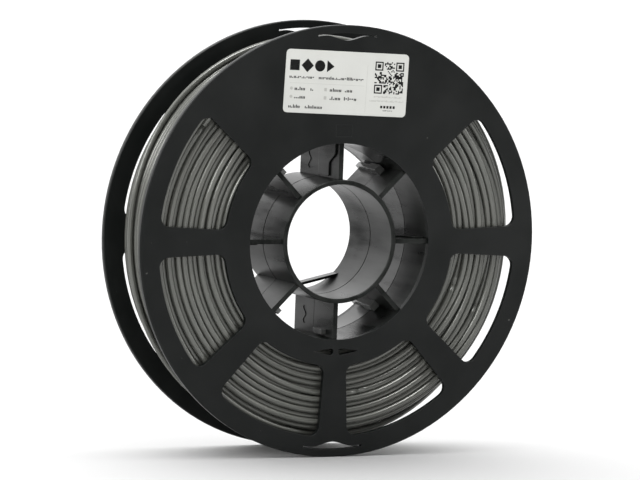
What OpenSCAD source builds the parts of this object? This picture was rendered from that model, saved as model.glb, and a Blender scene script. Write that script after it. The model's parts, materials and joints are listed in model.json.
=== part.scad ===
// Full spool of printing filament.
// The body is two mouldings that meet at mid width. Each has a flange, half of the drum wall,
// half of the core tube and half of each rib. The spool's axis is Y and it stands on its rims.
// The origin is the centre of the bore, and the labelled front face looks towards -Y.

/* [Flanges] */
// Diameter of both flanges
flange_d = 200; // [196:1:220]
// Width over both flanges
overall_w = 46; // [40:1:70]
// Thickness of a flange
flange_t = 2.6; // [2:0.1:4]
// Diameter of the hole round the hub
hub_hole_d = 91; // [88:0.5:92]
// Chamfer round the rim
rim_chamfer = 0.4; // [0.2:0.1:0.8]

/* [Windows] */
// Radius of a window's inner edge
window_r_in = 57.7; // [56:0.1:62]
// Radius of a window's outer edge
window_r_out = 90.7; // [84:0.1:91]
// Radius of a window's corners
window_corner_r = 4.5; // [2:0.1:6]
// Width of a spoke at its inner end
spoke_w_in = 11; // [8:0.5:14]
// Width of a spoke at its outer end
spoke_w_out = 14.4; // [11:0.1:18]

/* [Hub] */
// Diameter of the bore
bore_d = 53; // [50:0.5:54]
// Wall of the core tube
tube_wall = 2.1; // [1.6:0.1:3]
// Outer diameter of the drum that the strand is wound on
drum_d = 95; // [94:0.5:96]
// Draft on the drum's inner wall, from the flange to the seam
drum_draft = 1; // [0.5:0.1:1.5]
// Thickness of a rib
rib_t = 2.2; // [1.6:0.1:3]
// How far the ribs' ends lie below the flange's face
rib_recess = 1.8; // [1:0.1:4]
// Chamfer on the ends of the core tube
tube_chamfer = 0.35; // [0.2:0.05:0.5]
// Width of the groove along the seam of the tube and the drum
seam_groove_w = 0.7; // [0.6:0.1:1]
// Depth of that groove
seam_groove_d = 0.7; // [0.4:0.1:0.8]

/* [Snap features] */
// Thickness of a snap tongue
tongue_t = 0.7; // [0.6:0.1:1.4]
// Reach of a tongue's short side past the seam
tongue_reach = 11.5; // [9:0.5:13]
// How much further the tongue reaches beside the drum
tongue_step = 6.5; // [4:0.5:7]
// Side of a locating bar's section
bar_w = 2.4; // [2:0.1:3]
// Reach of a locating bar's head past the seam
bar_reach = 4.6; // [3:0.1:6]
// Thickness of the finger in the rear end of the bore
finger_t = 1.2; // [1:0.1:1.6]
// Width of the finger along the bore
finger_w = 5.6; // [4:0.2:8]
// Distance from the bore's axis to the finger
finger_distance = 22.4; // [21:0.1:25]

/* [Strand holders] */
// Radius of a clip slot's curve, which follows the rim
slot_r = 96; // [95:0.1:97]
// Length of a clip slot
slot_l = 29; // [20:1:34]
// Width of a clip slot
slot_w = 0.6; // [0.5:0.1:1.2]
// Width of the bay in the middle of a clip slot
bay_w = 23; // [12:1:26]
// Depth of the bay, towards the axis
bay_d = 2.8; // [1.5:0.1:3]
// Length of a threading hole beside the hub
thread_hole_l = 10.5; // [6:0.5:12]
// Radius of a threading hole's wide end
thread_hole_r = 1.5; // [1:0.1:2]

/* [Filament] */
// Inner radius of the winding
winding_r = 48; // [48:0.5:60]
// Number of layers
layers = 17; // [4:1:17]
// Radial pitch of the nested layers
layer_pitch = 2.47; // [2.4:0.01:2.5]
// Width of the winding
winding_w = 40; // [34:0.5:40]

/* [Label] */
// Width of the label
label_w = 62.4; // [40:0.1:70]
// Height of the label
label_h = 29.1; // [15:0.1:30]
// Corner radius of the label
label_r = 2; // [1:0.5:4]
// Thickness of the label
label_t = 0.15; // [0.1:0.05:0.3]
// Place of the label's centre to the right of the axis
label_x = 0.1; // [-4:0.1:4]
// Height of the label's centre over the axis
label_z = 73.25; // [72:0.05:75]
// Tilt of the label
label_tilt = -1.9; // [-3:0.1:3]

/* [Hidden] */
$fn = 96;
// Spokes and ribs stand at the same eight angles, the first along +X
sectors = 8;
sector_angle = 360 / sectors;
// The two sectors under the label have no window
blank_sectors = [1, 2];
half_w = overall_w / 2;
flange_r = flange_d / 2;
flange_in = half_w - flange_t;
hub_hole_r = hub_hole_d / 2;
bore_r = bore_d / 2;
tube_r = bore_r + tube_wall;
drum_r = drum_d / 2;
drum_r_seam = hub_hole_r - drum_draft;
rib_end = half_w - rib_recess;
// Gap between the two halves' ribs
rib_gap = 0.3;
// How far a cutter runs past the surface that it cuts
cut = 1;
// Direction of a window's side edge, counted from the window's centre line
side_angle = sector_angle / 2 - atan((spoke_w_out - spoke_w_in) / 2 / (window_r_out - window_r_in));
// Distance from the axis to the line that a window's corner centres lie on
side_offset = spoke_w_in / 2 + window_corner_r - window_r_in * sin(sector_angle / 2 - side_angle);
window_r_low = window_r_in + window_corner_r;
window_r_high = window_r_out - window_corner_r;
window_a_low = side_angle - asin(side_offset / window_r_low);
window_a_high = side_angle - asin(side_offset / window_r_high);
// Steps in a window's long arcs and in its corners
arc_steps = 16;
corner_steps = 6;
// Ribs that carry a snap tongue
tongue_angles = [0, 90, 180, 270];
tongue_r_in = tube_r + 1;
// Radii between which the tongue's end curves forward
tongue_curve = [35, 41];
tongue_steps = 12;
// The head of a locating bar is thicker than the bar
bar_head = 1.2;
bar_head_l = 9.5;
bar_r = 44;
bar_back = 3;
// Ribs that carry the rear half's bars, and the side of the rib that they lie on
bar_places = [[45, 1], [315, -1]];
lug_from = 4.5;
lug_l = 9;
lug_angle = 270;
// The finger leaves the bore's wall beside the lower right rib
finger_angle = -77;
finger_tip_gap = 4;
finger_z = half_w - tube_chamfer - finger_w;
// Gap between the fat ends of the two threading holes, their place and half the height of their tips
thread_hole_gap = 2.4;
thread_hole_z = -51;
thread_hole_tip = 0.3;
// Half of the angle that a clip slot spans, the radius of its ends and the steps along it
slot_a = slot_l / slot_r * 90 / PI;
slot_end_r = 0.5;
slot_steps = 32;
// Recessed moulding mark over the hub
mark_w = 8;
mark_h = 5.5;
mark_z = 51.3;
mark_depth = 0.25;
front_nodes = ["front_flange", "front_drum", "front_core_tube", "front_ribs", "front_locating_bars"];
rear_nodes = ["rear_flange", "rear_drum", "rear_core_tube", "rear_ribs", "rear_locating_bars"];
function layer_name(i) = str("filament_layer_", i < 10 ? "0" : "", i);
layer_nodes = [for (i = [1:layers]) layer_name(i)];

// Points on an arc round a centre, both ends included
function polar(r, a) = [r * cos(a), r * sin(a)];
function arc(centre, r, from, to, steps) =
    [for (i = [0:steps]) centre + polar(r, from + (to - from) * i / steps)];

// The same arc without its ends, which its neighbours supply
function open_arc(r, from, to, steps) =
    [for (i = [1:steps - 1]) polar(r, from + (to - from) * i / steps)];

// Everything is drawn lying down with the front face up, then stood up on its rims
module stand_up() {
    rotate([90, 0, 0]) children();
}

// The rear half is the front half reflected in the seam
module rear_side() {
    mirror([0, 0, 1]) children();
}

// Outline of one window, with its centre line along +X
module window_outline() {
    polygon(concat(
        open_arc(window_r_out, -window_a_high, window_a_high, arc_steps),
        arc(polar(window_r_high, window_a_high), window_corner_r,
            window_a_high, side_angle + 90, corner_steps),
        arc(polar(window_r_low, window_a_low), window_corner_r,
            side_angle + 90, window_a_low + 180, corner_steps),
        open_arc(window_r_in, window_a_low, -window_a_low, arc_steps),
        arc(polar(window_r_low, -window_a_low), window_corner_r,
            180 - window_a_low, 270 - side_angle, corner_steps),
        arc(polar(window_r_high, -window_a_high), window_corner_r,
            270 - side_angle, 360 - window_a_high, corner_steps)
    ));
}

module windows() {
    for (i = [0:sectors - 1])
        if (len(search(i, blank_sectors)) == 0)
            rotate((i + 0.5) * sector_angle) window_outline();
}

// Depth of a clip slot's bell-shaped bay, at a distance along the slot from its middle
function bay_depth(along) =
    abs(along) < bay_w / 2 ? bay_d * (1 + cos(360 * along / bay_w)) / 2 : 0;

// Curved slit near the rim with a bay that the strand's end is pushed into
module clip_slot() {
    rotate(90) {
        polygon(concat(
            arc([0, 0], slot_r + slot_w / 2, -slot_a, slot_a, slot_steps),
            [for (i = [0:slot_steps]) let (a = slot_a - 2 * slot_a * i / slot_steps)
                polar(slot_r - slot_w / 2 - bay_depth(a * PI / 180 * slot_r), a)]
        ));
        for (side = [-1, 1]) translate(polar(slot_r, side * slot_a)) circle(slot_end_r);
    }
}

// Drop-shaped hole that the strand's first end is threaded through
module thread_hole() {
    translate([thread_hole_gap / 2 + thread_hole_r, thread_hole_z]) {
        circle(thread_hole_r);
        polygon([[0, thread_hole_r], [thread_hole_l - thread_hole_r, thread_hole_tip], [0, -thread_hole_r]]);
    }
}

module flange_cuts() {
    windows();
    clip_slot();
    rotate(180) clip_slot();
    thread_hole();
    mirror([1, 0]) thread_hole();
}

module flange() {
    difference() {
        rotate_extrude() polygon([
            [hub_hole_r, flange_in],
            [flange_r - rim_chamfer, flange_in],
            [flange_r, flange_in + rim_chamfer],
            [flange_r, half_w - rim_chamfer],
            [flange_r - rim_chamfer, half_w],
            [hub_hole_r, half_w]
        ]);
        translate([0, 0, flange_in - cut]) linear_extrude(flange_t + 2 * cut) flange_cuts();
        translate([-mark_w / 2, mark_z - mark_h / 2, half_w - mark_depth]) cube([mark_w, mark_h, cut]);
    }
}

// Half of the wall that the strand is wound on, with draft inside
module drum() {
    rotate_extrude() polygon([
        [drum_r_seam + seam_groove_d, 0],
        [drum_r, 0],
        [drum_r, flange_in],
        [hub_hole_r, flange_in],
        [drum_r_seam, seam_groove_w / 2]
    ]);
}

// Half of the tube round the bore
module core_tube() {
    rotate_extrude() polygon([
        [bore_r + seam_groove_d, 0],
        [tube_r - seam_groove_d, 0],
        [tube_r, seam_groove_w / 2],
        [tube_r, half_w - tube_chamfer],
        [tube_r - tube_chamfer, half_w],
        [bore_r + tube_chamfer, half_w],
        [bore_r, half_w - tube_chamfer],
        [bore_r, seam_groove_w / 2]
    ]);
}

// Space between the tube and the drum, which the ribs fill
module hub_space() {
    rotate_extrude() polygon([
        [tube_r, rib_gap / 2],
        [drum_r_seam, rib_gap / 2],
        [hub_hole_r, flange_in],
        [hub_hole_r, rib_end],
        [tube_r, rib_end]
    ]);
}

module ribs() {
    intersection() {
        hub_space();
        for (i = [0:sectors / 2 - 1])
            rotate(i * sector_angle) translate([0, 0, half_w / 2])
                cube([flange_d, rib_t, overall_w], center = true);
    }
}

// Bar that lies in the corner of a rib and the drum, and crosses the seam with its head
module locating_bar(angle, side) {
    rotate(angle) {
        translate([bar_r - bar_w, side > 0 ? rib_t / 2 : -rib_t / 2 - bar_w, -bar_reach])
            cube([bar_w, bar_w, half_w - bar_back + bar_reach]);
        translate([bar_r - bar_w - bar_head, side > 0 ? rib_t / 2 : -rib_t / 2 - bar_w - bar_head, -bar_reach])
            cube([bar_w + bar_head, bar_w + bar_head, bar_head_l]);
    }
}

module locating_bars() {
    for (place = bar_places) locating_bar(place[0], place[1]);
}

// Small stop on the bottom rib, beside the drum
module lug() {
    rotate(lug_angle) translate([bar_r - bar_w, -rib_t / 2 - bar_w, lug_from])
        cube([bar_w, bar_w, lug_l]);
}

// Plate that lies flat on a rib, with a stepped end that snaps past the seam
module snap_tongue() {
    curve_w = tongue_curve[1] - tongue_curve[0];
    end_points = [for (i = [0:tongue_steps])
        [tongue_curve[0] + curve_w * i / tongue_steps,
         tongue_reach + tongue_step * (1 - cos(180 * i / tongue_steps)) / 2]];
    translate([0, rib_t / 2 + tongue_t, 0]) rotate([90, 0, 0]) linear_extrude(tongue_t)
        polygon(concat(
            [[bar_r + bar_w / 2, tongue_reach + tongue_step], [bar_r + bar_w / 2, rib_gap / 2]],
            [[tongue_r_in, rib_gap / 2], [tongue_r_in, tongue_reach]],
            end_points
        ));
}

// Straight finger across the rear end of the bore, rooted in the wall at one end only
module finger() {
    root = sqrt(bore_r * bore_r - finger_distance * finger_distance);
    intersection() {
        rotate(finger_angle) translate([finger_distance, finger_tip_gap - root, finger_z])
            cube([finger_t, 2 * root - finger_tip_gap, finger_w]);
        translate([0, 0, finger_z - cut]) cylinder(r = bore_r, h = finger_w + 2 * cut);
    }
}

module label_outline() {
    inner_w = label_w - 2 * label_r;
    inner_h = label_h - 2 * label_r;
    square([label_w, inner_h], center = true);
    square([inner_w, label_h], center = true);
    for (x = [-1, 1], y = [-1, 1])
        translate([x * inner_w / 2, y * inner_h / 2]) circle(label_r);
}

// The two mouldings, part by part
module front_flange() { color("#2a2c2c") stand_up() flange(); }
module front_drum() { color("#2a2c2c") stand_up() drum(); }
module front_core_tube() { color("#333534") stand_up() core_tube(); }
module front_ribs() { color("#303232") stand_up() ribs(); }
module rear_flange() { color("#2a2c2c") stand_up() rear_side() flange(); }
module rear_drum() { color("#2a2c2c") stand_up() rear_side() drum(); }
module rear_core_tube() { color("#333534") stand_up() rear_side() core_tube(); }
module rear_ribs() { color("#303232") stand_up() rear_side() ribs(); }

module front_locating_bars() {
    color("#4a4c4b") stand_up() {
        mirror([1, 0, 0]) locating_bars();
        lug();
    }
}

module rear_locating_bars() {
    color("#4a4c4b") stand_up() rear_side() locating_bars();
}

module snap_tongues() {
    color("#3c3e3d") stand_up()
        for (a = tongue_angles) rotate(a) snap_tongue();
}

module bore_finger() {
    color("#303232") stand_up() rear_side() finger();
}

module label() {
    color("#e1e1d7") stand_up() translate([label_x, label_z, half_w]) rotate(label_tilt)
        linear_extrude(label_t) label_outline();
}

// One layer of the strand, as the ring that its turns fill
module filament_layer(i) {
    color("#7d7c73") stand_up() rotate_extrude()
        translate([winding_r + (i - 1) * layer_pitch, -winding_w / 2]) square([layer_pitch, winding_w]);
}

front_flange();
front_drum();
front_core_tube();
front_ribs();
front_locating_bars();
rear_flange();
rear_drum();
rear_core_tube();
rear_ribs();
rear_locating_bars();
snap_tongues();
bore_finger();
label();
for (i = [1:layers]) filament_layer(i);
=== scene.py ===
import json
import math
import random

import bpy
import numpy as np
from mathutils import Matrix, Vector

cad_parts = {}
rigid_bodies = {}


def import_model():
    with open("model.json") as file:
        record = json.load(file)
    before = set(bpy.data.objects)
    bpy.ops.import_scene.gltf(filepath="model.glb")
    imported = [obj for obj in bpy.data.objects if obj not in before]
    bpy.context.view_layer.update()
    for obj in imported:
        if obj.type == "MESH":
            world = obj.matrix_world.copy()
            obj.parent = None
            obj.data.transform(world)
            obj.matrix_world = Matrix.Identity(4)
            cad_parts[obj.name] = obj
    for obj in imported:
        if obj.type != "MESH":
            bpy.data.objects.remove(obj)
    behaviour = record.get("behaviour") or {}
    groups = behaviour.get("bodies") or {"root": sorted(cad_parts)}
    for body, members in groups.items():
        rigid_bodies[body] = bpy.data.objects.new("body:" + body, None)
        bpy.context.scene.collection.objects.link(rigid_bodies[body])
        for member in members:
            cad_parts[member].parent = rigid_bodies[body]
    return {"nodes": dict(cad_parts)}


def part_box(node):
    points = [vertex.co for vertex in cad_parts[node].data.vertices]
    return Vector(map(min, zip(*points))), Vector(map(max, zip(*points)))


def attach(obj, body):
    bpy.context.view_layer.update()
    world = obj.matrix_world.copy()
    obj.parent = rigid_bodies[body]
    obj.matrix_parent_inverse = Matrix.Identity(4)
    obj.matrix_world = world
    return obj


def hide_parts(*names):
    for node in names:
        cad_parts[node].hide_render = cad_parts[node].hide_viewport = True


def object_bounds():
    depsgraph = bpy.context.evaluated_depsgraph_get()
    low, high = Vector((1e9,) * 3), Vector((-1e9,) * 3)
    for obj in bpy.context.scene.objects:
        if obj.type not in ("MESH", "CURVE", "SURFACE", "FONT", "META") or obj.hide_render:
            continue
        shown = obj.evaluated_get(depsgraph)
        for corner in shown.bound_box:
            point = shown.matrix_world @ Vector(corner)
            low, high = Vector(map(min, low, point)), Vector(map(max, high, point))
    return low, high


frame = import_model()
cad_low, cad_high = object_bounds()

MM = 0.001
BODY = "root"

# Camera
CAMERA_PLACE = (-0.93550, -1.99073, 0.19433)
CAMERA_TURN = (84.9130, -2.1557, -24.9918)
LENS = 266.92

camera_data = bpy.data.cameras.new("camera")
camera_data.lens = LENS
camera = bpy.data.objects.new("camera", camera_data)
camera.location = CAMERA_PLACE
camera.rotation_euler = [math.radians(a) for a in CAMERA_TURN]
bpy.context.scene.collection.objects.link(camera)
bpy.context.scene.camera = camera


# Node helpers
class Shader:
    """One material and the shorthand that its node tree is built with."""

    def __init__(self, name):
        self.material = bpy.data.materials.new(name)
        self.material.use_nodes = True
        self.tree = self.material.node_tree
        self.tree.nodes.clear()
        self.place = self.node("ShaderNodeTexCoord").outputs["Object"]

    def node(self, kind, inputs=None, **settings):
        """A new node with its settings, and its inputs linked or set to a value."""
        node = self.tree.nodes.new(kind)
        for key, value in settings.items():
            setattr(node, key, value)
        for key, value in (inputs or {}).items():
            if isinstance(value, bpy.types.NodeSocket):
                self.tree.links.new(value, node.inputs[key])
            else:
                node.inputs[key].default_value = value
        return node

    def math(self, operation, a, b):
        return self.node("ShaderNodeMath", {0: a, 1: b}, operation=operation).outputs[0]

    def stretched(self, scale):
        """The object's own coordinates, scaled along each axis."""
        return self.node("ShaderNodeMapping", {"Vector": self.place, "Scale": scale}).outputs[0]

    def noise(self, scale, detail, place=None):
        inputs = {"Vector": place or self.place, "Scale": scale, "Detail": detail}
        return self.node("ShaderNodeTexNoise", inputs).outputs["Fac"]

    def remap(self, value, low, high, new_low, new_high):
        inputs = {"Value": value, "From Min": low, "From Max": high,
                  "To Min": new_low, "To Max": new_high}
        return self.node("ShaderNodeMapRange", inputs).outputs["Result"]

    def mix(self, factor, a, b):
        a, b = ((*c, 1.0) if isinstance(c, tuple) else c for c in (a, b))
        return self.node("ShaderNodeMix", {0: factor, 6: a, 7: b}, data_type="RGBA").outputs[2]

    def bump(self, height, distance, normal=None):
        inputs = {"Height": height, "Distance": distance, "Strength": 1.0}
        if normal is not None:
            inputs["Normal"] = normal
        return self.node("ShaderNodeBump", inputs).outputs[0]

    def rounded(self, radius):
        """The normal of edges rounded to that radius, and how much an edge it is from 0 to 1."""
        soft = self.node("ShaderNodeBevel", {"Radius": radius}, samples=6).outputs[0]
        hard = self.node("ShaderNodeNewGeometry").outputs["Normal"]
        match = self.node("ShaderNodeVectorMath", {0: soft, 1: hard}, operation="DOT_PRODUCT")
        return soft, self.remap(match.outputs["Value"], 1.0, 0.8, 0.0, 1.0)

    def finish(self, **inputs):
        """The material, with the principled shader's inputs named with underscores."""
        named = {key.replace("_", " "): value for key, value in inputs.items()}
        surface = self.node("ShaderNodeBsdfPrincipled", named).outputs[0]
        self.node("ShaderNodeOutputMaterial", {"Surface": surface})
        return self.material


EDGE_ROUND = 0.35 * MM
DUST_COLOUR = (0.2, 0.2, 0.19)


def moulded_plastic(name, dark, light, edge, gloss, grain, specular, draw):
    """Black injection-moulded plastic with a fine grain, flow marks, dust and a painted highlight along
    its edges.

    gloss and specular give the roughness and the specular level in the dark and in the light
    parts. draw is how closely the flow marks lie along each axis.
    """
    s = Shader(name)
    flow = s.noise(16, 4)
    streaks = s.noise(1, 3, s.stretched(draw))
    cloud = s.math("ADD", s.math("MULTIPLY", flow, 0.6), s.math("MULTIPLY", streaks, 0.4))
    colour = s.mix(s.remap(cloud, 0.35, 0.65, 0.0, 1.0), dark, light)
    soft, rim = s.rounded(EDGE_ROUND)
    # Painted highlight: the rounded edges are mixed towards the lighter edge colour, standing in for the
    # light that they catch
    colour = s.mix(s.math("MULTIPLY", rim, 0.8), colour, edge)
    dust = s.remap(s.noise(420, 1), 0.815, 0.84, 0.0, 0.35)
    colour = s.mix(dust, colour, DUST_COLOUR)
    roughness = s.remap(cloud, 0.3, 0.7, gloss[0], gloss[1])
    fine = s.bump(s.noise(2600, 2), grain, soft)
    normal = s.bump(s.noise(90, 2), 3 * grain, fine)
    level = s.remap(cloud, 0.38, 0.62, specular[0], specular[1])
    return s.finish(Base_Color=colour, Roughness=roughness, Normal=normal, Specular_IOR_Level=level)


# edge is the colour of each plastic's painted edge highlight
flange_plastic = moulded_plastic(
    "flange_plastic",
    dark=(0.0031, 0.0040, 0.0037), light=(0.0050, 0.0060, 0.0056), edge=(0.022, 0.024, 0.023),
    gloss=(0.36, 0.48), grain=0.006 * MM, specular=(0.22, 0.28), draw=(60, 60, 60))
hub_plastic = moulded_plastic(
    "hub_plastic",
    dark=(0.0028, 0.0036, 0.0032), light=(0.0150, 0.0166, 0.0150), edge=(0.04, 0.042, 0.039),
    gloss=(0.18, 0.42), grain=0.006 * MM, specular=(0.04, 0.25), draw=(160, 22, 160))
# The locating bars are glossier, and their base and edge colours are painted highlight, far lighter than
# the rest of the black plastic
painted_highlight_plastic = moulded_plastic(
    "painted_highlight_plastic",
    dark=(0.06, 0.062, 0.06), light=(0.12, 0.123, 0.118), edge=(0.2, 0.2, 0.195),
    gloss=(0.16, 0.3), grain=0.004 * MM, specular=(0.5, 0.7), draw=(300, 60, 300))


def strand_plastic():
    """Warm grey extruded strand with a soft sheen and faint lengthwise lines."""
    s = Shader("strand_plastic")
    uv = s.node("ShaderNodeUVMap").outputs[0]
    along = s.node("ShaderNodeMapping", {"Vector": uv, "Scale": (14.0, 3.0, 1.0)}).outputs[0]
    lines = s.node("ShaderNodeMapping", {"Vector": uv, "Scale": (30.0, 40.0, 1.0)}).outputs[0]
    shade = s.noise(1, 3, along)
    line = s.noise(1, 2, lines)
    cloud = s.remap(shade, 0.3, 0.7, 0.0, 1.0)
    colour = s.mix(cloud, (0.070, 0.073, 0.064), (0.102, 0.105, 0.094))
    colour = s.mix(s.remap(line, 0.35, 0.75, 0.0, 0.5), colour, (0.21, 0.21, 0.19))
    roughness = s.remap(shade, 0.3, 0.7, 0.30, 0.20)
    normal = s.bump(line, 0.012 * MM, s.bump(s.noise(900, 2), 0.008 * MM))
    return s.finish(Base_Color=colour, Roughness=roughness, Normal=normal, Metallic=0.3,
                    Specular_IOR_Level=0.9)


strand_material = strand_plastic()


def label_paper():
    """Off-white coated paper with a faint fibre grain and slightly greyed edges."""
    s = Shader("label_paper")
    fibre = s.noise(1, 4, s.stretched((900, 900, 2400)))
    mottle = s.noise(70, 3)
    cloud = s.remap(mottle, 0.3, 0.7, 0.0, 1.0)
    colour = s.mix(cloud, (0.575, 0.580, 0.552), (0.615, 0.620, 0.590))
    colour = s.mix(s.remap(fibre, 0.55, 0.8, 0.0, 0.35), colour, (0.66, 0.66, 0.61))
    soft, rim = s.rounded(0.12 * MM)
    colour = s.mix(s.math("MULTIPLY", rim, 0.4), colour, (0.45, 0.45, 0.42))
    normal = s.bump(fibre, 0.006 * MM, soft)
    roughness = s.remap(mottle, 0.3, 0.7, 0.42, 0.55)
    return s.finish(Base_Color=colour, Roughness=roughness, Normal=normal, Specular_IOR_Level=0.35)


def ink(name, shade, faded):
    """Printed ink that lets a little of the paper's grain through."""
    s = Shader(name)
    wear = s.remap(s.noise(1500, 3), 0.5, 0.75, 0.0, 0.6)
    return s.finish(Base_Color=s.mix(wear, shade, faded), Roughness=0.48,
                    Normal=s.bump(s.noise(2600, 2), 0.004 * MM), Specular_IOR_Level=0.12)


paper_material = label_paper()
ink_dark = ink("ink_dark", (0.006, 0.006, 0.006), (0.03, 0.03, 0.028))
ink_grey = ink("ink_grey", (0.13, 0.13, 0.125), (0.24, 0.24, 0.225))
ink_pale = ink("ink_pale", (0.42, 0.42, 0.395), (0.5, 0.5, 0.47))


def dress(node_name, material):
    """Gives a CAD node its finished material."""
    mesh = frame["nodes"][node_name].data
    if not mesh.materials:
        mesh.materials.append(material)
    for i in range(len(mesh.materials)):
        mesh.materials[i] = material


# The filament layers and the label aren't dressed, because pieces below replace them
for half in ("front", "rear"):
    dress(half + "_flange", flange_plastic)
    dress(half + "_locating_bars", painted_highlight_plastic)
    for part in ("_drum", "_core_tube", "_ribs"):
        dress(half + part, hub_plastic)
for name in ("snap_tongues", "bore_finger"):
    dress(name, hub_plastic)


def mesh_piece(name, verts, faces, materials, face_materials=None, smooth=True):
    """A mesh object that rides on the spool."""
    mesh = bpy.data.meshes.new(name)
    mesh.from_pydata([tuple(v) for v in verts], [], faces)
    for material in materials:
        mesh.materials.append(material)
    if face_materials is not None:
        mesh.polygons.foreach_set("material_index", face_materials)
    mesh.polygons.foreach_set("use_smooth", [smooth] * len(mesh.polygons))
    mesh.update()
    piece = bpy.data.objects.new(name, mesh)
    bpy.context.scene.collection.objects.link(piece)
    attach(piece, BODY)
    return piece


# Winding, in mm and degrees. Layer 1 lies on the drum and the axis is Y.
STRAND_R = 1.425
DRUM_R = 48
LAYERS = 17
LAYER_PITCH = 2.47
FIRST_R = DRUM_R + STRAND_R
# Outermost place of a turn as planned, and the furthest it may settle, clear of the flanges
EDGE_Y = 18.55
SIDE_LIMIT = 18.95
# Turns in an odd layer. An even one has one fewer, in the gaps of the layer below.
TURNS = 13
TURN_PITCH = 2 * EDGE_Y / (TURNS - 1)
# Points along each turn, and around the strand
STEPS = 96
STEP_ANGLE = 360 / STEPS
SIDES = 10
# Each turn steps over to the next one at the angle of its layer, over this many degrees
STEP_SPAN = 50
STEP_AT = (90, 90, 30, -70, 90, 150, -20, 60, -80, -100, 75, 30, -25, 100, 140, 95, 90)
# Turns of the last layer and their spacing
LAST_TURNS = 10
LAST_PITCH = 2.95
# The loose end, listed point by point: (angle, layer, place along the axis). It runs along the front
# flange, crosses over the winding on top of it and ends in the rear flange's lower clip slot.
LAST_PATH = (
    (138, 17, -10.95), (336, 17, -10.95), (350, 17, -11.3), (366, 17, -12.4), (382, 17, -13.4),
    (394, 17, -14.9), (404, 17, -16.5), (418, 17, -18.0), (432, 17, -18.6), (520, 17, -18.6),
    (632, 17, -18.6), (642, 17.1, -15.6), (648, 17.35, -12.4), (654, 17.65, -9.2),
    (662, 17.95, -6.4), (675, 18, -4.2), (700, 18, -2), (740, 18, 1), (785, 18, 4.5), (800, 18, 9),
    (822, 18, 16.4), (834, 18, 17.2), (847, 18, 12.8), (860, 18.2, 17.4), (874, 18, 10.8),
    (890, 18, 6.0), (910, 18, 5.2), (935, 18, 8.5), (960, 18, 14.6), (976, 18.45, 17.6),
    (985, 19.0, 18.8), (990, 19.3, 20.0), (994, 19.3, 21.3),
)
# The end past this angle is held where it is
HELD_FROM = 970
# How far a turn beside a flange may lie from it
EDGE_STRAY = 2.2
# Unevenness of the winding: size in mm and wavelengths in turns
SIDE_WAVES = (0.5, (0.23, 0.41, 1.7, 4.3))
LIFT_WAVES = (0.25, (0.19, 0.37, 1.3, 3.1))
SWELL_WAVES = (0.5, (0.31, 0.47))
STRAY_WAVES = (0.5, (0.5, 0.8))
# Settling: rounds, and the share of an overlap, of the way back to the plan and of a bend that
# each round makes good
SETTLE_ROUNDS = 320
PUSH = 0.4
PULL = 0.03
STRAIGHTEN = 0.25
random.seed(285)


class Wander:
    """Smooth seeded noise with waves of the given lengths."""

    def __init__(self, size, lengths):
        size /= math.sqrt(len(lengths))
        self.waves = [(size, random.uniform(0.85, 1.15) / length, random.uniform(0, 2 * math.pi))
                      for length in lengths]

    def at(self, x):
        return sum(size * np.sin(2 * math.pi * pace * x + start) for size, pace, start in self.waves)


def layer_tracks(layer):
    """Places along the axis of a layer's turns, in the order that they are wound."""
    if layer == LAYERS:
        return [EDGE_Y - LAST_PITCH * k for k in range(LAST_TURNS)]
    if layer % 2 == 1:
        return [EDGE_Y - TURN_PITCH * k for k in range(TURNS)]
    return [-EDGE_Y + TURN_PITCH * (k + 0.5) for k in range(TURNS - 1)]


def planned_path():
    """Each point's angle, layer and place along the axis, and the angle that LAST_PATH counts from."""
    plan = [(layer, y) for layer in range(1, LAYERS + 1) for y in layer_tracks(layer)]
    knots = [(STEP_AT[0], *plan[0])]
    for turn in range(len(plan) - 1):
        middle = STEP_AT[plan[turn][0] - 1] + 360 * (turn + 1)
        knots += [(middle - STEP_SPAN / 2, *plan[turn]), (middle + STEP_SPAN / 2, *plan[turn + 1])]
    knots.append((STEP_AT[-1] + 360 * len(plan) - STEP_SPAN / 2, *plan[-1]))
    base = 360 * len(plan)
    knots += [(base + angle, layer, y) for angle, layer, y in LAST_PATH]
    angles, layers, places = np.array(knots).T
    points = np.arange(angles[0], angles[-1], STEP_ANGLE)
    return points, np.interp(points, angles, layers), np.interp(points, angles, places), base


def settled(angles, radii, places, held):
    """The path's radii and places once neighbouring turns are pushed apart to the strand's thickness."""
    count = len(angles)
    turns = -(-count // STEPS)
    far = np.linspace(1000, 2000, turns * STEPS - count)
    r, y = np.append(radii, far), np.append(places, far)
    aim_r, aim_y = r.copy(), y.copy()
    free = np.append(~held, np.zeros(len(far), bool))
    grid_r, grid_y = r.reshape(turns, STEPS), y.reshape(turns, STEPS)
    first, second = np.triu_indices(turns, 1)
    near = [np.hypot(grid_r[a] - grid_r[b], grid_y[a] - grid_y[b]).min() < 4 * STRAND_R
            for a, b in zip(first, second)]
    first, second = first[near], second[near]
    links = np.zeros((turns, len(first)))
    links[first, np.arange(len(first))] = -1
    links[second, np.arange(len(first))] = 1
    for step in range(SETTLE_ROUNDS):
        grid_r, grid_y = r.reshape(turns, STEPS), y.reshape(turns, STEPS)
        gap_r, gap_y = grid_r[second] - grid_r[first], grid_y[second] - grid_y[first]
        gap = np.maximum(np.hypot(gap_r, gap_y), 0.01)
        push = np.maximum(2 * STRAND_R - gap, 0) / gap * PUSH
        pull = PULL * (1 - step / SETTLE_ROUNDS)
        move_r = (links @ (push * gap_r)).ravel() + pull * (aim_r - r)
        move_y = (links @ (push * gap_y)).ravel() + pull * (aim_y - y)
        r[free] += move_r[free]
        y[free] += move_y[free]
        for line in (r, y):
            bend = line[:-2] + line[2:] - 2 * line[1:-1]
            line[1:-1] += STRAIGHTEN * bend * free[1:-1]
        r[free] = np.maximum(r[free], FIRST_R)
        y[free] = np.clip(y[free], -SIDE_LIMIT, SIDE_LIMIT)
    return r[:count], y[:count]


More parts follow.
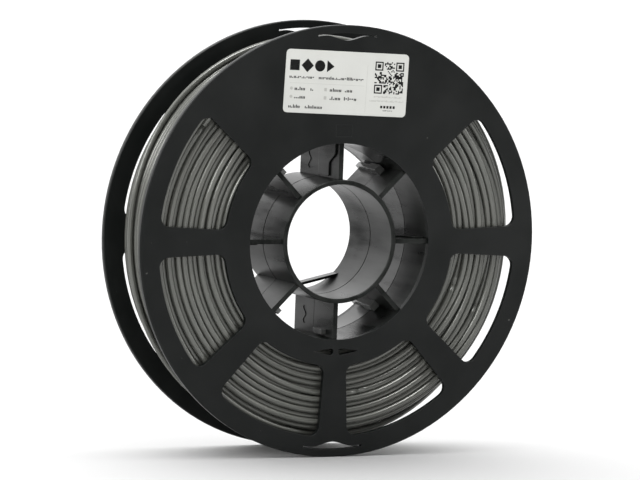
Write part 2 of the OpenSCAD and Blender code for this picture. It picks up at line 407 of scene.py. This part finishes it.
def winding():
    """The strand's centre line with its direction at each point, layer by layer."""
    angles, layers, places, base = planned_path()
    turns = (angles - angles[0]) / 360
    around = angles % 360 / 360
    side = Wander(*SIDE_WAVES).at(turns)
    lift = Wander(*LIFT_WAVES).at(turns)
    swell = Wander(*SWELL_WAVES).at(around + layers * 0.05) * layers / LAYERS
    # The loose end keeps to its path
    loose = np.clip((LAYERS + 0.5 - layers) * 4, 0, 1)
    radii = FIRST_R + LAYER_PITCH * (layers - 1) + (lift + swell) * loose
    places = places + side * loose
    # Each layer's turns beside a flange stray from it in their own way, but not in the last two
    for layer in range(1, LAYERS - 1):
        stray = Wander(*STRAY_WAVES).at(around) + random.uniform(0.1, 0.9)
        beside = (np.abs(layers - layer) < 0.5) & (np.abs(places) > SIDE_LIMIT - TURN_PITCH)
        spot = np.sign(places) * (SIDE_LIMIT - EDGE_STRAY * np.clip(stray, 0, 1))
        places = np.where(beside, spot, places)
    held = angles > base + HELD_FROM
    radii, places = settled(angles, radii, places, held)
    turn_of = np.radians(angles)
    path = np.stack([radii * np.cos(turn_of), places, radii * np.sin(turn_of)], axis=1)
    number = np.clip(np.floor(layers + 0.5).astype(int), 1, LAYERS)
    starts = [int(np.argmax(number >= layer)) for layer in range(1, LAYERS + 1)] + [len(path) - 1]
    ahead = np.gradient(path, axis=0)
    ahead /= np.linalg.norm(ahead, axis=1, keepdims=True)
    return [(path[a:b + 1], ahead[a:b + 1]) for a, b in zip(starts[:-1], starts[1:])]


def tube(name, centres, ahead, radius, material, node):
    """A round strand along its centre line, with a flat cut at each end, that replaces a node."""
    c = centres * MM
    # Frame of each cross section: away from the spool's axis, and across
    out = c * np.array([1, 0, 1])
    across = np.cross(ahead, out)
    across /= np.linalg.norm(across, axis=1, keepdims=True)
    out = np.cross(across, ahead)
    angles = np.linspace(0, 2 * np.pi, SIDES, endpoint=False)
    ring = (np.cos(angles)[None, :, None] * out[:, None, :]
            + np.sin(angles)[None, :, None] * across[:, None, :]) * radius * MM
    verts = (c[:, None, :] + ring).reshape(-1, 3)
    n = len(c)
    faces = []
    for i in range(n - 1):
        a, b = i * SIDES, (i + 1) * SIDES
        for k in range(SIDES):
            m = (k + 1) % SIDES
            faces.append((a + k, a + m, b + m, b + k))
    faces.append(tuple(range(SIDES))[::-1])
    faces.append(tuple((n - 1) * SIDES + k for k in range(SIDES)))
    piece = mesh_piece(name, verts, faces, [material])
    piece.data.polygons.foreach_set("use_smooth", [True] * (len(faces) - 2) + [False] * 2)
    # The texture runs in metres along the strand, and from 0 to 1 around it
    along = np.concatenate([[0], np.cumsum(np.linalg.norm(np.diff(c, axis=0), axis=1))])
    uv = piece.data.uv_layers.new(name="strand")
    loops = []
    for i in range(n - 1):
        for k in range(SIDES):
            v0, v1 = k / SIDES, (k + 1) / SIDES
            loops += [along[i], v0, along[i], v1, along[i + 1], v1, along[i + 1], v0]
    loops += [0.0, 0.5] * (2 * SIDES)
    uv.data.foreach_set("uv", loops)
    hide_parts(node)


for number, (centres, ahead) in enumerate(winding(), start=1):
    tube("strand_layer_%02d" % number, centres, ahead, STRAND_R, strand_material,
         "filament_layer_%02d" % number)


# Moulded marks on the left faces of the top and bottom ribs, in mm
RIB_FACE = -1.1
MARK_STEPS = 24
MARK_WIDTH = 0.6
MARK_SINK = 0.2
MARK_LIFT = 0.3


def rib_mark(name, y, z0, z1, sway, waves):
    """A raised wavy line that runs up a rib, from z0 to z1."""
    verts, faces = [], []
    ring = ((-MARK_LIFT, -1), (MARK_SINK, -1), (MARK_SINK, 1), (-MARK_LIFT, 1))
    for i in range(MARK_STEPS + 1):
        t = i / MARK_STEPS
        middle = y + sway * math.sin(2 * math.pi * waves * t)
        z = (z0 + (z1 - z0) * t) * MM
        verts += [((RIB_FACE + depth) * MM, (middle + side * MARK_WIDTH / 2) * MM, z)
                  for depth, side in ring]
    for i in range(MARK_STEPS):
        a, b = 4 * i, 4 * i + 4
        for k in range(4):
            m = (k + 1) % 4
            faces.append((a + k, a + m, b + m, b + k))
    faces.append((3, 2, 1, 0))
    faces.append(tuple(4 * MARK_STEPS + k for k in range(4)))
    mesh_piece(name, verts, faces, [hub_plastic], smooth=False)


rib_mark("top_rib_mark", 11.0, 31.6, 40.4, 1.2, 1.5)
rib_mark("bottom_rib_mark", 10.4, -41.2, -33.0, 1.3, 1.4)


# Label, in mm. Its sheet is a little thinner than the CAD label, so that the ink stays in its box.
# Depths are measured outwards from the CAD label's face.
LABEL_SIZE = (62.4, 29.1)
LABEL_CORNER = 2
LABEL_TILT = -1.9
CORNER_STEPS = 8
SHEET_DEPTHS = (-0.15, -0.015)
INK_DEPTHS = (-0.027, -0.003)
DISC_CORNERS = 24
# Inks, by their place in the print's list of materials
DARK, GREY, PALE = range(3)
# Small marks: widths and heights as shares of the line's height
MARK_KINDS = ("tick", "short", "pair", "pair", "dash", "dot")
MARK_WIDE = {"tick": 0.22, "short": 0.22, "pair": 0.6, "dash": 0.42, "dot": 0.28}
MARK_TALL = {"tick": 0.8, "short": 0.55, "pair": 0.55}
MARK_STROKE = 0.25
MARK_GAP = 0.17


class Print:
    """Flat printed marks, each a thin block on the label's face."""

    def __init__(self):
        low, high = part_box("label")
        self.centre = ((low[0] + high[0]) / 2, low[1], (low[2] + high[2]) / 2)
        self.verts, self.faces, self.inks = [], [], []
        self.cos = math.cos(math.radians(LABEL_TILT))
        self.sin = math.sin(math.radians(LABEL_TILT))

    def at(self, x, z, depth):
        return (self.centre[0] + (x * self.cos - z * self.sin) * MM,
                self.centre[1] - depth * MM,
                self.centre[2] + (x * self.sin + z * self.cos) * MM)

    def shape(self, points, which=DARK, depths=INK_DEPTHS):
        """A closed outline, given anticlockwise in mm as the label is read, made into a thin block."""
        n, base = len(points), len(self.verts)
        for depth in depths:
            self.verts += [self.at(x, z, depth) for x, z in points]
        self.faces.append(tuple(base + n + i for i in range(n)))
        self.faces.append(tuple(base + i for i in range(n))[::-1])
        for i in range(n):
            j = (i + 1) % n
            self.faces.append((base + i, base + j, base + n + j, base + n + i))
        self.inks += [which] * (n + 2)

    def bar(self, x0, z0, x1, z1, which=DARK):
        self.shape([(x0, z0), (x1, z0), (x1, z1), (x0, z1)], which)

    def disc(self, x, z, r, which=DARK):
        turns = [2 * math.pi * i / DISC_CORNERS for i in range(DISC_CORNERS)]
        self.shape([(x + r * math.cos(turn), z + r * math.sin(turn)) for turn in turns], which)

    def marks(self, x0, x1, z, height, which, gaps=()):
        """A line of small ticks, dots and dashes that stands for small print."""
        x, thick = x0, height * MARK_STROKE
        while x < x1 - height * 0.4:
            kind = random.choice(MARK_KINDS)
            wide = height * MARK_WIDE[kind]
            if not any(abs(x - gap) < height * 0.6 for gap in gaps):
                low = z - height * 0.4
                if kind in MARK_TALL:
                    top = MARK_TALL[kind] * height + low
                    self.bar(x, low, x + thick, top, which)
                if kind == "pair":
                    self.bar(x + wide - thick, low, x + wide, top, which)
                if kind == "dash":
                    self.bar(x, z - thick / 2, x + wide, z + thick / 2, which)
                if kind == "dot":
                    self.bar(x, low, x + wide, low + wide, which)
            x += wide + height * MARK_GAP


def label_sheet():
    """The label's paper, with rounded corners."""
    p = Print()
    half_w, half_h = (side / 2 - LABEL_CORNER for side in LABEL_SIZE)
    corners = ((half_w, half_h), (-half_w, half_h), (-half_w, -half_h), (half_w, -half_h))
    outline = []
    for quarter, (x, z) in enumerate(corners):
        for i in range(CORNER_STEPS + 1):
            turn = math.pi / 2 * (quarter + i / CORNER_STEPS)
            outline.append((x + LABEL_CORNER * math.cos(turn), z + LABEL_CORNER * math.sin(turn)))
    p.shape(outline, depths=SHEET_DEPTHS)
    sheet = mesh_piece("label_sheet", p.verts, p.faces, [paper_material], smooth=False)
    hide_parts("label")


def print_label():
    """All of the label's print: plain signs, lines of small marks, rules and a square field."""
    p = Print()
    # Heading of four plain signs
    p.bar(-29.0, 4.9, -24.2, 9.8)
    p.shape([(-20.2, 4.2), (-17.1, 7.35), (-20.2, 10.5), (-23.3, 7.35)])
    p.disc(-13.9, 7.35, 2.6)
    p.shape([(-10.3, 4.6), (-6.6, 7.35), (-10.3, 10.1)])
    p.marks(-29.0, 9.2, 2.0, 1.8, DARK, gaps=(-15.5,))
    p.bar(-28.6, -0.95, 9.3, -0.85, PALE)
    p.bar(10.3, -13.0, 10.4, 9.0, PALE)
    # Rows: height, then the ends of the left and of the right line
    rows = ((-3.4, -26.0, -16.0, -8.2, 4.3), (-7.2, -26.0, -18.3, -8.0, 5.6))
    for z, a, b, c, d in rows:
        p.disc(-27.6, z, 0.75, PALE)
        p.marks(a, b, z, 2.0, DARK, gaps=(a + 6.3,))
        p.bar(-11.0, z - 0.75, -9.7, z + 0.75, PALE)
        p.marks(c, d, z, 2.0, DARK, gaps=(c + 6.0,))
    p.marks(-28.6, -11.0, -11.6, 1.9, DARK, gaps=(-22.4,))
    p.marks(14.4, 28.9, -5.5, 1.1, PALE)
    p.marks(12.4, 30.3, -7.4, 1.1, PALE)
    for x in (18.0, 19.6, 21.2, 22.8, 24.4):
        p.bar(x, -10.8, x + 1.1, -9.6)
    p.marks(19.4, 24.6, -11.8, 0.8, GREY)
    code_square(p)
    mesh_piece("label_print", p.verts, p.faces, [ink_dark, ink_grey, ink_pale],
               p.inks, smooth=False)


def code_square(p):
    """A plain square field of blocks with three framed corners. It carries no data."""
    modules, left, bottom, size = 25, 14.2, -4.1, 14.8
    cell = size / modules
    corner = 7
    filled = [[random.random() < 0.5 for _ in range(modules)] for _ in range(modules)]
    for r0, c0 in ((0, 0), (modules - corner, 0), (modules - corner, modules - corner)):
        for row in range(max(r0 - 1, 0), min(r0 + corner + 1, modules)):
            for col in range(max(c0 - 1, 0), min(c0 + corner + 1, modules)):
                ring = max(abs(row - r0 - 3), abs(col - c0 - 3))
                filled[row][col] = ring in (0, 1, 3)
    for row in range(modules):
        col = 0
        while col < modules:
            if not filled[row][col]:
                col += 1
                continue
            start = col
            while col < modules and filled[row][col]:
                col += 1
            p.bar(left + start * cell, bottom + row * cell,
                  left + col * cell, bottom + (row + 1) * cell)


label_sheet()
print_label()

# Floor, studio and lights
FLOOR_Z = cad_low[2]
FLOOR_HALF = 14.0
floor_shader = Shader("floor")
floor_tone = floor_shader.mix(floor_shader.noise(3, 2), (0.93, 0.93, 0.93), (0.95, 0.95, 0.95))
floor_material = floor_shader.finish(Base_Color=floor_tone, Roughness=0.9, Specular_IOR_Level=0.1)
floor_mesh = bpy.data.meshes.new("floor")
floor_corners = [(x * FLOOR_HALF, y * FLOOR_HALF, FLOOR_Z)
                 for x, y in ((-1, -1), (1, -1), (1, 1), (-1, 1))]
floor_mesh.from_pydata(floor_corners, [], [(0, 1, 2, 3)])
floor_mesh.materials.append(floor_material)
floor = bpy.data.objects.new("floor", floor_mesh)
bpy.context.scene.collection.objects.link(floor)

# The sky grows brighter from the front and below to the back and above: where it is brightest,
# and the range of (cosine, cosine, strength, strength) from its darkest to its brightest part
SKY_AIM = (0.0, 0.75, 0.66)
SKY_RANGE = (-0.3, 1.0, 0.08, 2.6)
world = bpy.data.worlds.new("studio")
bpy.context.scene.world = world
world.use_nodes = True
tree = world.node_tree
tree.nodes.clear()
direction = tree.nodes.new("ShaderNodeTexCoord").outputs["Generated"]
aim = tree.nodes.new("ShaderNodeVectorMath")
aim.operation = "DOT_PRODUCT"
tree.links.new(direction, aim.inputs[0])
aim.inputs[1].default_value = SKY_AIM
depth = tree.nodes.new("ShaderNodeMapRange")
for key, value in zip(("From Min", "From Max", "To Min", "To Max"), SKY_RANGE):
    depth.inputs[key].default_value = value
tree.links.new(aim.outputs["Value"], depth.inputs["Value"])
sky = tree.nodes.new("ShaderNodeBackground")
tree.links.new(depth.outputs["Result"], sky.inputs["Strength"])
tree.links.new(sky.outputs[0], tree.nodes.new("ShaderNodeOutputWorld").inputs["Surface"])

# The lamps light the object only, so that the floor keeps the sky's soft shadow alone
lit = bpy.data.collections.new("lit")
for thing in bpy.context.scene.objects:
    if thing.type == "MESH" and thing is not floor:
        lit.objects.link(thing)


def softbox(name, place, size, power):
    """A rectangular area light that looks at the spool's centre."""
    light = bpy.data.lights.new(name, "AREA")
    light.shape = "RECTANGLE"
    light.size, light.size_y = size
    light.energy = power
    lamp = bpy.data.objects.new(name, light)
    lamp.location = place
    lamp.rotation_euler = (-Vector(place)).to_track_quat("-Z", "Y").to_euler()
    lamp.light_linking.receiver_collection = lit
    bpy.context.scene.collection.objects.link(lamp)


softbox("left_light", (-1.52, -0.57, 0.95), (0.6, 0.7), 13)
softbox("top_light", (-0.22, -0.55, 1.75), (0.8, 0.4), 20)
softbox("front_light", (-0.85, -2.3, 0.3), (1.6, 1.6), 10)
softbox("right_light", (1.5, -0.9, 0.6), (0.5, 1.0), 7)

view = bpy.context.scene.view_settings
view.view_transform = "Standard"
view.look = "None"
